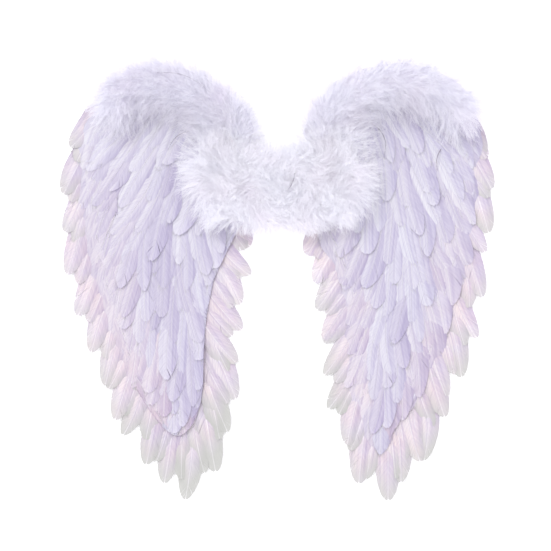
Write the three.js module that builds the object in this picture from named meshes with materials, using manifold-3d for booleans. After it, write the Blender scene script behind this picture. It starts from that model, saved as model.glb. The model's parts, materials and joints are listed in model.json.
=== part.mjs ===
// Costume angel wings, lying on their back with the feathered face up.
// Each wing is a stiff board with a ring of long feathers under its rim and taped rows of shorter feathers on
// its face. A panel joins the two boards, marabou down covers it and the tops, and two elastic loops lie under it.
// Millimetres. +X runs to the right wing's tip, +Y to the shoulders, +Z up from the surface that it lies on.
// The origin is on that surface, under the middle of the outline. The left wing mirrors the right one.
import * as THREE from "three";
import { mergeVertices } from "three/addons/utils/BufferGeometryUtils.js";
import Module from "manifold-3d";

const wasm = await Module();
wasm.setup();

// Overall outline
const WING_REACH = 298; // centre line to the outermost feather tip
const WING_HEIGHT = 616; // lowest feather tip to the top of the marabou
const SEAM_HALF = 50; // centre line to the straight edge where board and panel meet

// Thicknesses, and the gap that is left between pieces that lie on each other
const GAP = 0.3;
const BOARD_THICK = 3;
const EDGE_FEATHER_THICK = 1.2;
const ROW_FEATHER_THICK = 1;
const SHINGLE_GAP = 0.4;
const STRAP_THICK = 1.2;

// Ring of long feathers under the rim of each board
const EDGE_FEATHER_WIDTH = 33;
const EDGE_TAPE_WIDTH = 12;

// Rows of feathers on the face, counted from the tip to the shoulder
const ROW_COUNT = 11;
const ROW_PITCH = 39;
const FIRST_HEAD = -142; // height on the wing of the lowest row's tape
const ROW_TAPE_WIDTH = 9;
const ROW_FEATHER_WIDTH = 31;
const ROW_FEATHER_PITCH = 27; // from tip to tip along a row
const LOWEST_ROW_LENGTH = 112;
const HIGHEST_ROW_LENGTH = 104;
const ROW_OVERHANG = 6; // of the outermost tips past the board

// Panel between the boards
const PANEL_LOW = 98;
const PANEL_TOP = 160;

// Elastic shoulder loops
const STRAP_WIDTH = 10;
const STRAP_FOOT = SEAM_HALF + 8; // centre line to the ends, which are sewn under the boards beside the panel
const STRAP_REACH = 138; // centre line to the outer bend
const STRAP_BEND_RADIUS = 24;
const STRAP_BEND_HEIGHT = 148; // height on the wing of the bend's centre
const STRAP_TOP_FOOT = 142;
const STRAP_LOW_FOOT = 112;
const STRAP_STEPS = 28;

// Marabou down
const DOWN_HEIGHT = 38; // thickness of the down without its locks
const PUFF_RADIUS = 32; // of the largest puffs
const PUFF_SIDES = 8;
const PUFF_RINGS = 5;
const LOCK_LENGTH = 26;
const LOCK_RADIUS = 9;
const LOCK_SEAT = 0.5; // from a puff's centre to the roots of its locks, as a share of its radius
const LOCK_LIFT = 0.25; // height of those roots over the centre for a lock that rises, as a share of DOWN_HEIGHT
const LOCK_RISES = [0.15, 0.8]; // how steeply the locks rise, in turn
const ARM_LOCKS = 5; // round each puff
const MIDDLE_LOCKS = 4;
const ARM_FLOW = [0.35, 0.1]; // the way in which an arm's locks are brushed
const DOWN_SEAM = 190; // height on the wing where the arms of down meet the middle piece

// Levels that follow from the thicknesses
const boardLow = Math.max(EDGE_FEATHER_THICK, STRAP_THICK) + GAP;
const boardTop = boardLow + BOARD_THICK;
const rowLow = boardTop + GAP;
const rowSlope = (ROW_FEATHER_THICK + SHINGLE_GAP) / ROW_PITCH;

// The board's outline: `up` is a share of WING_HEIGHT from the middle, `inner` and `outer` shares of WING_REACH.
// A null inner edge is the straight seam.
const BOARD_SECTIONS = [
  { up: 0.435, inner: 0.46, outer: 0.66 },
  { up: 0.39, inner: 0.32, outer: 0.83 },
  { up: 0.325, inner: 0.225, outer: 0.875 },
  { up: 0.26, inner: null, outer: 0.888 },
  { up: 0.138, inner: null, outer: 0.88 },
  { up: 0.081, inner: 0.23, outer: 0.865 },
  { up: 0, inner: 0.31, outer: 0.825 },
  { up: -0.081, inner: 0.343, outer: 0.78 },
  { up: -0.162, inner: 0.356, outer: 0.725 },
  { up: -0.244, inner: 0.36, outer: 0.655 },
  { up: -0.308, inner: 0.39, outer: 0.575 },
  { up: -0.344, inner: 0.44, outer: 0.5 },
];

// The ring, from the shoulder round the tip to the inner edge: where each feather's tip lies on the right wing and
// on the left one, out and up in the board's shares, how far it leans outward in degrees, and its length as a share
// of WING_HEIGHT. The wings are laid by hand, so their tips don't mirror each other exactly.
const EDGE_FEATHERS = [
  { right: [0.969, 0.285], left: [0.952, 0.293], lean: 46, length: 0.128 },
  { right: [0.998, 0.196], left: [0.998, 0.190], lean: 34, length: 0.165 },
  { right: [0.979, 0.105], left: [0.970, 0.101], lean: 22, length: 0.185 },
  { right: [0.953, -0.041], left: [0.984, 0.011], lean: 14, length: 0.203 },
  { right: [0.898, -0.137], left: [0.924, -0.084], lean: 12, length: 0.203 },
  { right: [0.853, -0.220], left: [0.859, -0.166], lean: 10, length: 0.203 },
  { right: [0.776, -0.267], left: [0.785, -0.244], lean: 10, length: 0.203 },
  { right: [0.764, -0.312], left: [0.762, -0.316], lean: 12, length: 0.211 },
  { right: [0.690, -0.407], left: [0.678, -0.357], lean: 9, length: 0.211 },
  { right: [0.632, -0.412], left: [0.600, -0.419], lean: 8, length: 0.200 },
  { right: [0.567, -0.457], left: [0.535, -0.459], lean: 6, length: 0.211 },
  { right: [0.489, -0.499], left: [0.424, -0.496], lean: 2, length: 0.219 },
  { right: [0.359, -0.460], left: [0.303, -0.435], lean: -6, length: 0.219 },
  { right: [0.287, -0.368], left: [0.238, -0.346], lean: -12, length: 0.211 },
  { right: [0.243, -0.296], left: [0.199, -0.271], lean: -16, length: 0.211 },
  { right: [0.205, -0.213], left: [0.204, -0.193], lean: -20, length: 0.211 },
  { right: [0.195, -0.133], left: [0.181, -0.118], lean: -24, length: 0.203 },
  { right: [0.182, -0.072], left: [0.170, -0.054], lean: -28, length: 0.195 },
  { right: [0.166, -0.007], left: [0.148, 0.003], lean: -28, length: 0.179 },
  { right: [0.138, 0.052], left: [0.132, 0.072], lean: -30, length: 0.105 },
];

// How far a row's first and last feathers lean outward, in degrees, from the lowest row to the highest.
const ROW_LEANS = [
  { share: 0, inner: -8, outer: 10 },
  { share: 0.3, inner: -24, outer: 18 },
  { share: 0.6, inner: -29, outer: 21 },
  { share: 0.85, inner: -12, outer: 27 },
  { share: 1, inner: -4, outer: 32 },
];

// Half a feather's outline from root to tip: shares of its length and of its width.
const FEATHER_OUTLINE = [
  { along: 0, half: 0.3 },
  { along: 0.15, half: 0.46 },
  { along: 0.65, half: 0.5 },
  { along: 0.9, half: 0.4 },
  { along: 1, half: 0.14 },
];

// Puffs of down from the middle out along the shoulder: centre as shares like the board's, size as a share of
// PUFF_RADIUS.
const ARM_PUFFS = [
  { right: [0.197, 0.325], left: [0.201, 0.316], size: 1 },
  { right: [0.234, 0.370], left: [0.229, 0.356], size: 1 },
  { right: [0.299, 0.408], left: [0.289, 0.390], size: 0.97 },
  { right: [0.391, 0.430], left: [0.373, 0.417], size: 0.94 },
  { right: [0.489, 0.442], left: [0.465, 0.437], size: 0.94 },
  { right: [0.586, 0.447], left: [0.558, 0.441], size: 0.94 },
  { right: [0.688, 0.437], left: [0.651, 0.437], size: 0.91 },
  { right: [0.776, 0.414], left: [0.725, 0.419], size: 0.88 },
  { right: [0.850, 0.383], left: [0.771, 0.394], size: 0.81 },
];
const MIDDLE_PUFFS = [
  { centre: [-0.208, 0.273], size: 1 },
  { centre: [-0.141, 0.244], size: 0.97 },
  { centre: [-0.047, 0.240], size: 1 },
  { centre: [0.050, 0.244], size: 1 },
  { centre: [0.144, 0.242], size: 0.97 },
  { centre: [0.208, 0.273], size: 1 },
  { centre: [-0.228, 0.167], size: 1 },
  { centre: [-0.134, 0.161], size: 0.97 },
  { centre: [-0.040, 0.162], size: 1 },
  { centre: [0.054, 0.159], size: 0.97 },
  { centre: [0.144, 0.162], size: 1 },
  { centre: [0.232, 0.169], size: 1 },
];

const materials = {
  board: new THREE.MeshStandardMaterial({ color: 0xeeedf2, roughness: 0.95 }),
  blush: new THREE.MeshStandardMaterial({ color: 0xe9dde9, roughness: 0.8 }),
  lavender: new THREE.MeshStandardMaterial({ color: 0xe2dff2, roughness: 0.8 }),
  down: new THREE.MeshStandardMaterial({ color: 0xece9f6, roughness: 1 }),
  elastic: new THREE.MeshStandardMaterial({ color: 0xf4f3f5, roughness: 0.9 }),
};

const across = (share) => share * WING_REACH;
const height = (share) => share * WING_HEIGHT;
const mix = THREE.MathUtils.lerp;

// Reads the value of `key` at `at` from rows sorted by `by`, straight between two rows and level past the ends.
function readTable(rows, by, key, at) {
  const sorted = [...rows].sort((a, b) => a[by] - b[by]);
  if (at <= sorted[0][by]) return sorted[0][key];
  for (let i = 1; i < sorted.length; i++) {
    const [low, high] = [sorted[i - 1], sorted[i]];
    if (at <= high[by]) return mix(low[key], high[key], (at - low[by]) / (high[by] - low[by]));
  }
  return sorted[sorted.length - 1][key];
}

// A closed three.js geometry as a manifold solid.
function solid(geometry) {
  const bare = new THREE.BufferGeometry();
  bare.setAttribute("position", geometry.getAttribute("position"));
  if (geometry.index) bare.setIndex(geometry.index);
  const merged = mergeVertices(bare, 1e-3);
  const mesh = { numProp: 3, vertProperties: merged.attributes.position.array };
  return new wasm.Manifold(new wasm.Mesh({ ...mesh, triVerts: new Uint32Array(merged.index.array) }));
}

// One solid of several, with faces that lie in one plane made one face.
const join = (solids) => solids.reduce((whole, next) => whole.add(next)).asOriginal().simplify(0.01);

// A manifold solid as a named three.js mesh.
function meshOf(name, body, material) {
  const { numProp, vertProperties, triVerts } = body.getMesh();
  const soup = new THREE.BufferGeometry();
  soup.setAttribute("position", new THREE.BufferAttribute(Float32Array.from(vertProperties), numProp));
  soup.setIndex(new THREE.BufferAttribute(Uint32Array.from(triVerts), 1));
  const geometry = soup.toNonIndexed();
  geometry.computeVertexNormals();
  const mesh = new THREE.Mesh(geometry, material);
  mesh.name = name;
  return mesh;
}

function slab(shape, low, high) {
  const geometry = new THREE.ExtrudeGeometry(shape, { depth: high - low, bevelEnabled: false, curveSegments: 2 });
  return geometry.translate(0, 0, low);
}

function box(low, high) {
  const size = new THREE.Vector3().subVectors(high, low);
  const middle = new THREE.Vector3().addVectors(high, low).multiplyScalar(0.5);
  return new THREE.BoxGeometry(size.x, size.y, size.z).translate(middle.x, middle.y, middle.z);
}

// Board sections in millimetres, with the seam's inner edge filled in.
const boardSections = BOARD_SECTIONS.map(({ up, inner, outer }) => ({
  y: height(up),
  inner: inner === null ? SEAM_HALF : across(inner),
  outer: across(outer),
  seam: inner === null,
}));

function boardShape() {
  const inner = boardSections.map(({ y, inner }) => new THREE.Vector2(inner, y));
  const outer = boardSections.map(({ y, outer }) => new THREE.Vector2(outer, y));
  const seamTop = boardSections.findIndex((section) => section.seam);
  const shape = new THREE.Shape();
  shape.moveTo(inner[seamTop].x, inner[seamTop].y);
  shape.splineThru([...inner.slice(0, seamTop).reverse(), ...outer, ...inner.slice(seamTop + 1).reverse()]);
  return shape;
}

// The board's outline moved outward by `by`, for what has to clear it, on the right wing for side 1, left for -1.
function grownBoardShape(by, side) {
  const points = boardShape().extractPoints(2).shape;
  const turn = THREE.ShapeUtils.isClockWise(points) ? 1 : -1;
  const grown = points.map((point, i) => {
    const before = points[(i + points.length - 1) % points.length];
    const after = points[(i + 1) % points.length];
    const along = new THREE.Vector2().subVectors(after, before).normalize();
    return new THREE.Vector2(side * (point.x - turn * along.y * by), point.y + turn * along.x * by);
  });
  return new THREE.Shape(grown);
}

const board = () => solid(slab(boardShape(), boardLow, boardTop));

function panel() {
  const half = SEAM_HALF - GAP;
  const low = new THREE.Vector3(-half, PANEL_LOW, boardLow);
  return solid(box(low, new THREE.Vector3(half, PANEL_TOP, boardTop)));
}

// One flat feather from (x, y), leaning outward by `lean` degrees, with its lower face at z = 0.
function feather(x, y, lean, length, width, thick) {
  const right = FEATHER_OUTLINE.map(({ along, half }) => new THREE.Vector2(half * width, -along * length));
  const left = right.map((point) => new THREE.Vector2(-point.x, point.y)).reverse();
  const shape = new THREE.Shape([...left, ...right]);
  return slab(shape, 0, thick)
    .rotateZ(THREE.MathUtils.degToRad(lean))
    .translate(x, y, 0);
}

// A flat ribbon through `points`, as a section swept along a smooth curve.
function ribbon(points, width, thick, steps) {
  const path = new THREE.CatmullRomCurve3(points.map(([x, y]) => new THREE.Vector3(x, y, thick / 2)));
  const section = new THREE.Shape();
  section.moveTo(-thick / 2, -width / 2);
  section.lineTo(thick / 2, -width / 2);
  section.lineTo(thick / 2, width / 2);
  section.lineTo(-thick / 2, width / 2);
  return new THREE.ExtrudeGeometry(section, { extrudePath: path, steps, bevelEnabled: false });
}

// The ring of long feathers, held together by a tape that runs through their roots under the board.
function edgeFeathers(wing) {
  const feathers = EDGE_FEATHERS.map((row, i) => {
    const [out, up] = row[wing];
    const reach = height(row.length);
    const angle = THREE.MathUtils.degToRad(row.lean);
    const x = across(out) - reach * Math.sin(angle);
    const y = height(up) + reach * Math.cos(angle);
    const thick = EDGE_FEATHER_THICK - (i % 2) * GAP;
    return { x, y, body: solid(feather(x, y, row.lean, reach, EDGE_FEATHER_WIDTH, thick)) };
  });
  const roots = feathers.map(({ x, y }) => [x, y - EDGE_TAPE_WIDTH / 2]);
  const tape = solid(ribbon(roots, EDGE_TAPE_WIDTH, EDGE_FEATHER_THICK - 2 * GAP, roots.length));
  return join([...feathers.map(({ body }) => body), tape]);
}

const rowHead = (row) => FIRST_HEAD + row * ROW_PITCH;

// Height of the lower face of a row at y. Each row rises from the board over the row before it.
const rowLevel = (row, y) => rowLow + (rowHead(row) - y) * rowSlope;

// The slant that lays a flat row on the rows below it.
function rowSlant(row) {
  const slant = new THREE.Matrix4();
  slant.elements[6] = -rowSlope;
  slant.elements[14] = rowLevel(row, 0);
  return slant;
}

// A row laid flat at z = 0: feathers side by side with their roots on one straight tape.
function featherRow(row) {
  const share = row / (ROW_COUNT - 1);
  const length = mix(LOWEST_ROW_LENGTH, HIGHEST_ROW_LENGTH, share);
  const head = rowHead(row);
  const rim = readTable(boardSections, "y", "inner", head - length) - ROW_OVERHANG;
  const tipInner = Math.max(rim, SEAM_HALF + ROW_FEATHER_WIDTH / 2);
  const tipOuter = readTable(boardSections, "y", "outer", head - length) + ROW_OVERHANG;
  const rootInner = readTable(boardSections, "y", "inner", head) + ROW_TAPE_WIDTH;
  const rootOuter = readTable(boardSections, "y", "outer", head) - ROW_TAPE_WIDTH;
  const count = Math.max(3, Math.round((tipOuter - tipInner) / ROW_FEATHER_PITCH) + 1);
  const innerLean = readTable(ROW_LEANS, "share", "inner", share);
  const outerLean = readTable(ROW_LEANS, "share", "outer", share);
  const roots = [];
  const bodies = [];
  for (let i = 0; i < count; i++) {
    const side = i / (count - 1);
    const tip = mix(tipInner, tipOuter, side);
    const wanted = tip - length * Math.sin(THREE.MathUtils.degToRad(mix(innerLean, outerLean, side)));
    const root = THREE.MathUtils.clamp(wanted, rootInner, rootOuter);
    const lean = THREE.MathUtils.radToDeg(Math.asin((tip - root) / length));
    const flat = feather(root, head - GAP, lean, length, ROW_FEATHER_WIDTH, ROW_FEATHER_THICK);
    roots.push(root);
    bodies.push(solid(flat));
  }
  const tape = box(
    new THREE.Vector3(Math.min(...roots) - ROW_TAPE_WIDTH / 2, head - ROW_TAPE_WIDTH, 0),
    new THREE.Vector3(Math.max(...roots) + ROW_TAPE_WIDTH / 2, head, ROW_FEATHER_THICK),
  );
  return join([...bodies, solid(tape)]);
}

// A shoulder loop: a flat band from beside the panel out to a round bend and back.
function strap() {
  const bend = STRAP_REACH - STRAP_BEND_RADIUS;
  const bendTop = STRAP_BEND_HEIGHT + STRAP_BEND_RADIUS;
  const bendLow = STRAP_BEND_HEIGHT - STRAP_BEND_RADIUS;
  const points = [
    [STRAP_FOOT, STRAP_TOP_FOOT],
    [(STRAP_FOOT + bend) / 2, (STRAP_TOP_FOOT + bendTop) / 2],
    [bend, bendTop],
    [STRAP_REACH, STRAP_BEND_HEIGHT],
    [bend, bendLow],
    [(STRAP_FOOT + bend) / 2, (STRAP_LOW_FOOT + bendLow) / 2],
    [STRAP_FOOT, STRAP_LOW_FOOT],
  ];
  return solid(ribbon(points, STRAP_WIDTH, STRAP_THICK, STRAP_STEPS));
}

// A four-sided lock of down from `foot` towards `aim`.
function lock(foot, aim, length) {
  const up = new THREE.Vector3(0, 1, 0);
  const turn = new THREE.Quaternion().setFromUnitVectors(up, aim.clone().normalize());
  return new THREE.ConeGeometry(LOCK_RADIUS, length, 4)
    .translate(0, length / 2, 0)
    .applyQuaternion(turn)
    .translate(foot.x, foot.y, foot.z);
}

// A heap of down: one flattened ball for each [centre, size], with locks that fan out of its upper half.
// `flow` is the direction in which the down is brushed, `locks` the number of locks round each ball.
function downHeap(puffs, flow, locks) {
  const bodies = [];
  puffs.forEach(([[out, up], size], i) => {
    const radius = size * PUFF_RADIUS;
    const centre = new THREE.Vector3(across(out), height(up), DOWN_HEIGHT / 2);
    const ball = new THREE.SphereGeometry(1, PUFF_SIDES, PUFF_RINGS).rotateX(Math.PI / 2);
    ball.scale(radius, radius, DOWN_HEIGHT / 2).translate(centre.x, centre.y, centre.z);
    bodies.push(solid(ball));
    for (let k = 0; k < locks; k++) {
      const angle = (2 * Math.PI * (k + (i % 2) / 2)) / locks;
      const rise = LOCK_RISES[k % LOCK_RISES.length];
      const outward = new THREE.Vector3(Math.cos(angle), Math.sin(angle), 0);
      const foot = centre.clone().addScaledVector(outward, LOCK_SEAT * radius);
      foot.z += LOCK_LIFT * DOWN_HEIGHT * rise;
      const aim = new THREE.Vector3(outward.x + flow[0], outward.y + flow[1], rise);
      bodies.push(solid(lock(foot, aim, LOCK_LENGTH)));
    }
  });
  return join(bodies);
}

// What the down has to clear: the boards, the rows' rising feathers, the panel and the surface below.
const FAR = 2 * Math.max(WING_REACH, WING_HEIGHT);
const SEAT_MARGIN = 8; // of the seat past the seam, for the roots of the rows
const ground = solid(box(new THREE.Vector3(-FAR, -FAR, -FAR), new THREE.Vector3(FAR, FAR, 0)));

function wingSeat(side) {
  const overBoard = solid(slab(grownBoardShape(GAP, side), -FAR, rowLow));
  const head = rowHead(ROW_COUNT);
  const near = side * (SEAM_HALF - SEAT_MARGIN);
  const far = side * FAR;
  const low = new THREE.Vector3(Math.min(near, far), -FAR, -FAR);
  const wedge = box(low, new THREE.Vector3(Math.max(near, far), head, 0));
  const position = wedge.getAttribute("position");
  for (let i = 0; i < position.count; i++) {
    if (position.getZ(i) === 0) position.setZ(i, rowLevel(ROW_COUNT, position.getY(i)));
  }
  return overBoard.add(solid(wedge));
}

function panelSeat() {
  const low = new THREE.Vector3(-SEAM_HALF, -FAR, -FAR);
  return solid(box(low, new THREE.Vector3(SEAM_HALF, PANEL_TOP + GAP, rowLow)));
}

function armDown(wing) {
  const below = box(
    new THREE.Vector3(-FAR, -FAR, -FAR),
    new THREE.Vector3(FAR, DOWN_SEAM + GAP / 2, FAR),
  );
  const puffs = ARM_PUFFS.map((puff) => [puff[wing], puff.size]);
  const heap = downHeap(puffs, ARM_FLOW, ARM_LOCKS);
  return heap.subtract(wingSeat(1)).subtract(ground).subtract(solid(below));
}

function middleDown() {
  const above = box(
    new THREE.Vector3(-FAR, DOWN_SEAM - GAP / 2, -FAR),
    new THREE.Vector3(FAR, FAR, FAR),
  );
  const puffs = MIDDLE_PUFFS.map((puff) => [puff.centre, puff.size]);
  const heap = downHeap(puffs, [0, 0], MIDDLE_LOCKS);
  const seats = wingSeat(1).add(wingSeat(-1)).add(panelSeat());
  return heap.subtract(seats).subtract(ground).subtract(solid(above));
}

// The pieces of one wing, in the right wing's place.
function wingPieces(wing) {
  const pieces = [
    ["wing_board", board(), materials.board],
    ["edge_feathers", edgeFeathers(wing), materials.blush],
    ["shoulder_strap", strap(), materials.elastic],
    ["shoulder_marabou", armDown(wing), materials.down],
  ];
  const meshes = pieces.map(([name, body, material]) => meshOf(`${name}_${wing}`, body, material));
  for (let row = 0; row < ROW_COUNT; row++) {
    const mesh = meshOf(`feather_row_${row + 1}_${wing}`, featherRow(row), materials.lavender);
    mesh.geometry.applyMatrix4(rowSlant(row));
    meshes.push(mesh);
  }
  return meshes;
}

const wings = new THREE.Group();
const rightWing = new THREE.Group();
rightWing.add(...wingPieces("right"));
const leftWing = new THREE.Group();
leftWing.add(...wingPieces("left"));
leftWing.scale.x = -1;
wings.add(rightWing, leftWing);
wings.add(meshOf("centre_panel", panel(), materials.board));
wings.add(meshOf("centre_marabou", middleDown(), materials.down));

export default wings;
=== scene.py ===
"""Feathered costume wings on flat boards, lying on their back on white paper, seen from straight above."""
import json
import math

import bpy
import numpy as np
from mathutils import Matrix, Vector

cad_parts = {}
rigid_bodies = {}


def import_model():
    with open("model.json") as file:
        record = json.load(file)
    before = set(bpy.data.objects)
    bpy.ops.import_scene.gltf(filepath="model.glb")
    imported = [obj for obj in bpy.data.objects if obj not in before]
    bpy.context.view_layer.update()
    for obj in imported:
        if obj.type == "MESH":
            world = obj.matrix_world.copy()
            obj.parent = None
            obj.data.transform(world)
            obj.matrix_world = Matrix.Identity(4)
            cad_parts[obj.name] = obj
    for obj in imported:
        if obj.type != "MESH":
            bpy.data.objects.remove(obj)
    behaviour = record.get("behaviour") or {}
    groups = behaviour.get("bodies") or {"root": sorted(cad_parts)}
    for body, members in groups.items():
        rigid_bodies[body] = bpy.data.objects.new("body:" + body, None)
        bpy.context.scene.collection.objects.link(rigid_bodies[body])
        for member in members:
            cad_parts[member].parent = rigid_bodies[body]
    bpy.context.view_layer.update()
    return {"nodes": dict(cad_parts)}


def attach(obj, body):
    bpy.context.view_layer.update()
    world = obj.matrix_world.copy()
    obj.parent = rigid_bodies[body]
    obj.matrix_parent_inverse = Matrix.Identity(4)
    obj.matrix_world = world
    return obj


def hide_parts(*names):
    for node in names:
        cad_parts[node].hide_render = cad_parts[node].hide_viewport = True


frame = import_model()
nodes = frame["nodes"]
MM = 0.001
SIDES = {"right": 1, "left": -1}

# Camera
# It hangs over the middle of the wings and looks straight down at them, as the photographer faced them,
# far enough away for the two wings to show without spread.
LENS_MM = 85
SENSOR_MM = 36
FIELD_WIDTH = 0.7604  # width of what shows, at the wings
VIEW_CENTRE = (-0.0041, 0.0048)

camera_data = bpy.data.cameras.new("overhead_camera")
camera_data.lens = LENS_MM
camera_data.sensor_width = SENSOR_MM
camera = bpy.data.objects.new("overhead_camera", camera_data)
bpy.context.scene.collection.objects.link(camera)
camera.location = (*VIEW_CENTRE, FIELD_WIDTH * LENS_MM / SENSOR_MM + 10 * MM)
bpy.context.scene.camera = camera


# Wing boards and centre panel
# Stiff card cut to the wings' outline, covered with white needled felt. The panel is cut from the same
# felt-covered card and holds the boards at the shoulders.
def linear(colour):
    """An sRGB hex colour as linear RGBA."""
    channels = [int(colour[i : i + 2], 16) / 255 for i in (0, 2, 4)]
    return (*[c / 12.92 if c <= 0.04045 else ((c + 0.055) / 1.055) ** 2.4 for c in channels], 1)


def add_node(tree, kind, settings=None, **links):
    """A node of that kind. A setting is a property or, where there is none, an input socket."""
    node = tree.nodes.new(kind)
    for name, value in (settings or {}).items():
        if hasattr(node, name):
            setattr(node, name, value)
        else:
            node.inputs[name].default_value = value
    for name, source in links.items():
        tree.links.new(source, node.inputs[name.replace("_", " ")])
    return node


def new_material(name):
    """An empty node material and its tree."""
    material = bpy.data.materials.new(name)
    material.use_nodes = True
    material.node_tree.nodes.clear()
    return material, material.node_tree


def blend(tree, mode, share, first, second):
    """A colour mix of two colours or sockets, by a number or a socket."""
    mix = add_node(tree, "ShaderNodeMix", {"data_type": "RGBA", "blend_type": mode})
    for place, value in ((0, share), (6, first), (7, second)):
        if isinstance(value, bpy.types.NodeSocket):
            tree.links.new(value, mix.inputs[place])
        else:
            mix.inputs[place].default_value = value
    return mix.outputs[2]


def bump_of(tree, height, strength, depth):
    """The normals of a fine relief of that depth."""
    bump = add_node(tree, "ShaderNodeBump", {"Strength": strength, "Distance": depth}, Height=height)
    return bump.outputs["Normal"]


def paint(piece, material):
    """Gives the piece that one material."""
    piece.data.materials.clear()
    piece.data.materials.append(material)


def white_needled_felt():
    """Needled felt: matte, with short matted fibres that show as a fine even nap."""
    material, tree = new_material("white_needled_felt")
    place = add_node(tree, "ShaderNodeTexCoord").outputs["Object"]
    nap = add_node(tree, "ShaderNodeTexNoise", {"Scale": 900, "Detail": 3, "Roughness": 0.7}, Vector=place)
    patches = add_node(tree, "ShaderNodeTexNoise", {"Scale": 45, "Detail": 2}, Vector=place)
    colour = blend(tree, "MIX", patches.outputs["Fac"], linear("D0CDDB"), linear("DCD9E5"))
    shader = add_node(
        tree,
        "ShaderNodeBsdfPrincipled",
        {"Roughness": 0.95, "Sheen Weight": 0.2},
        Base_Color=colour,
        Normal=bump_of(tree, nap.outputs["Fac"], 0.5, 0.3 * MM),
    )
    add_node(tree, "ShaderNodeOutputMaterial", Surface=shader.outputs["BSDF"])
    return material


felt = white_needled_felt()
for name in ("wing_board_left", "wing_board_right", "centre_panel"):
    paint(nodes[name], felt)


# Rim feathers
# Long goose wing feathers, bleached and faintly dyed, glued by their quills under the rim of each board with
# their tips standing out. Shorter ones fill the gaps between them.
RIM_WIDTH = 36 * MM
RIM_LEVEL = 0.5 * MM  # height of the quills under the board
RIM_STAGGER = 0.4 * MM  # every second feather lies that much higher
RIM_FLOOR = 0.15 * MM
RIM_FLOOR_STEP = 0.09 * MM  # each feather is pressed flat at its own height, so that no two share a plane
RIM_FLOORS = 7
RIM_RISE = 4 * MM  # of the free part of a feather past the board's rim
FILLER_SHORTER = 17 * MM
FILLER_LOWER = 0.3 * MM
FILLER_WIDTH = 0.85 * RIM_WIDTH
GREY_TIPS_ABOVE = -90 * MM  # higher up the rim the tips are less grey
GREY_TIPS_BELOW = -200 * MM  # below it the left wing's tips are greyest
GREY_TIPS_INSIDE = 158 * MM  # of those, the ones nearer the middle line are greyed most, the outer ones less
GREYEST_TIPS = 0.95
GREY_OUTER_TIPS = 0.7125
RIM_FEATHERS = [  # right tip x and y, left tip x and y, lean in degrees, length, all from the shoulder round
    (287, 172, 284, 180, 30, 96),
    (297, 125, 297, 117, 26, 112),
    (292, 64, 289, 62, 21, 118),
    (284, -25, 293, 6, 17, 125),
    (268, -84, 275, -52, 16, 125),
    (254, -136, 256, -103, 16, 125),
    (231, -164, 234, -150, 15, 125),
    (228, -192, 227, -195, 16, 130),
    (206, -251, 202, -220, 13, 130),
    (188, -254, 179, -258, 10, 123),
    (169, -282, 159, -283, 7, 130),
    (146, -307, 126, -306, 1, 135),
    (107, -283, 90, -268, -9, 135),
    (86, -227, 71, -213, -18, 130),
    (72, -182, 59, -167, -27, 130),
    (61, -132, 61, -119, -34, 130),
    (58, -82, 54, -73, -37, 125),
    (54, -44, 51, -34, -36, 118),
    (49, -5, 44, 2, -33, 105),
    (41, 32, 39, 45, -30, 65),
]
BARB_GROUPS = 12  # on each side of a quill
BARB_REACH = np.array([0, 0.4, 0.75, 1])
BARB_SLANT = math.radians(32)
LOOSE_BARBS = 26  # that stand out of each margin
LOOSE_REACH = (2.5 * MM, 7 * MM)
QUILL_STEPS = 5
VANE_CAMBER = 0.07


def vane_half_width(along, blunt):
    """Half the vane's width at a share of its length: narrow at the root, tapered to a point or blunt."""
    root = 1 - 0.5 * (1 - np.clip(along / 0.35, 0, 1)) ** 2
    taper = np.clip((along - 0.42 - 0.13 * blunt) / (0.58 - 0.13 * blunt), 0, 1)
    return root * (1 - taper ** (1.9 + 0.3 * blunt)) ** (0.7 - 0.2 * blunt)


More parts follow.
